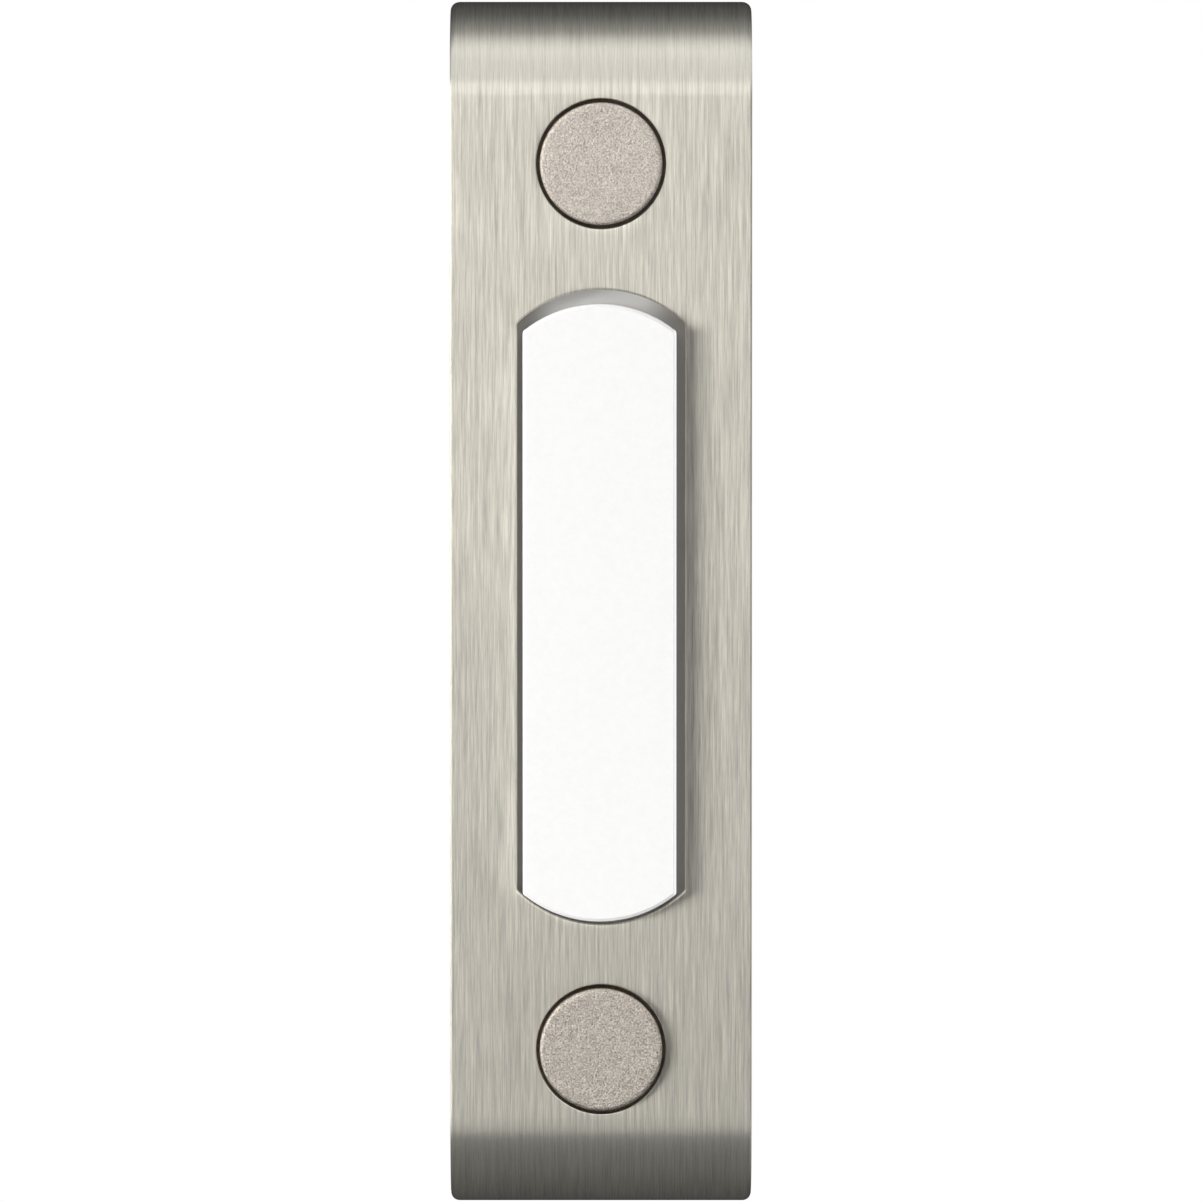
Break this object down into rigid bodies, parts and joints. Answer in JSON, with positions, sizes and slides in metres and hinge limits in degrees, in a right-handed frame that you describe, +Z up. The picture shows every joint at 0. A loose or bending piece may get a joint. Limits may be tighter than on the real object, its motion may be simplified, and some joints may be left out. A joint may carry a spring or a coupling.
{
  "type": "doorbell push button",
  "caption": "Slim wall-mounted doorbell push: brushed metal cover with bent-back ends, round screw caps and a tall lit push bar with arched ends.",
  "frame": {"origin": "middle of the back on the wall plane, halfway between the two mounting screws", "axes": "+Z up the plate, +Y into the wall, so the visitor's side faces -Y, and +X to the visitor's right"},
  "size_m": [0.0254, 0.0165, 0.1016],
  "materials": {
    "brushed_nickel": "satin, vertical brushing",
    "blasted_nickel": "fine blasted",
    "milky_plastic": "translucent white",
    "diffuser_plastic": "matt translucent white",
    "base_plastic": "fine texture",
    "board_green": "solder resist",
    "contact_brass": "rolled",
    "zinc_plated_steel": "zinc plated",
    "spring_steel": "drawn wire",
    "ring_rubber": "matt",
    "lamp_plastic": "clear moulded",
    "chip_black": "moulded"
  },
  "bodies": {
    "housing": {"cover": "brushed_nickel", "base": "base_plastic", "circuit_board": "board_green", "resistor": "chip_black", "rectifier": "chip_black", "led_top": "lamp_plastic", "led_middle": "lamp_plastic", "led_bottom": "lamp_plastic", "contact_strip_left": "contact_brass", "contact_strip_right": "contact_brass", "wire_clamp_left": "zinc_plated_steel", "wire_clamp_right": "zinc_plated_steel", "terminal_screw_left": "zinc_plated_steel", "terminal_screw_right": "zinc_plated_steel", "return_spring_top": "spring_steel", "return_spring_bottom": "spring_steel", "screw_cap_top": "blasted_nickel", "screw_cap_bottom": "blasted_nickel", "cap_ring_top": "ring_rubber", "cap_ring_bottom": "ring_rubber", "base_screw_top": "zinc_plated_steel", "base_screw_bottom": "zinc_plated_steel", "board_screw_top": "zinc_plated_steel", "board_screw_bottom": "zinc_plated_steel"},
    "button": {"push_bar": "milky_plastic", "diffuser": "diffuser_plastic", "contact_bridge": "contact_brass"}
  },
  "joints": [
    {"name": "press", "type": "slide", "parent": "housing", "child": "button", "axis": [0, 1, 0], "range_m": [0, 0.0012], "stiffness_N_per_m": 1000, "springref_m": -0.0015, "deforming": ["return_spring_top", "return_spring_bottom"]}
  ]
}
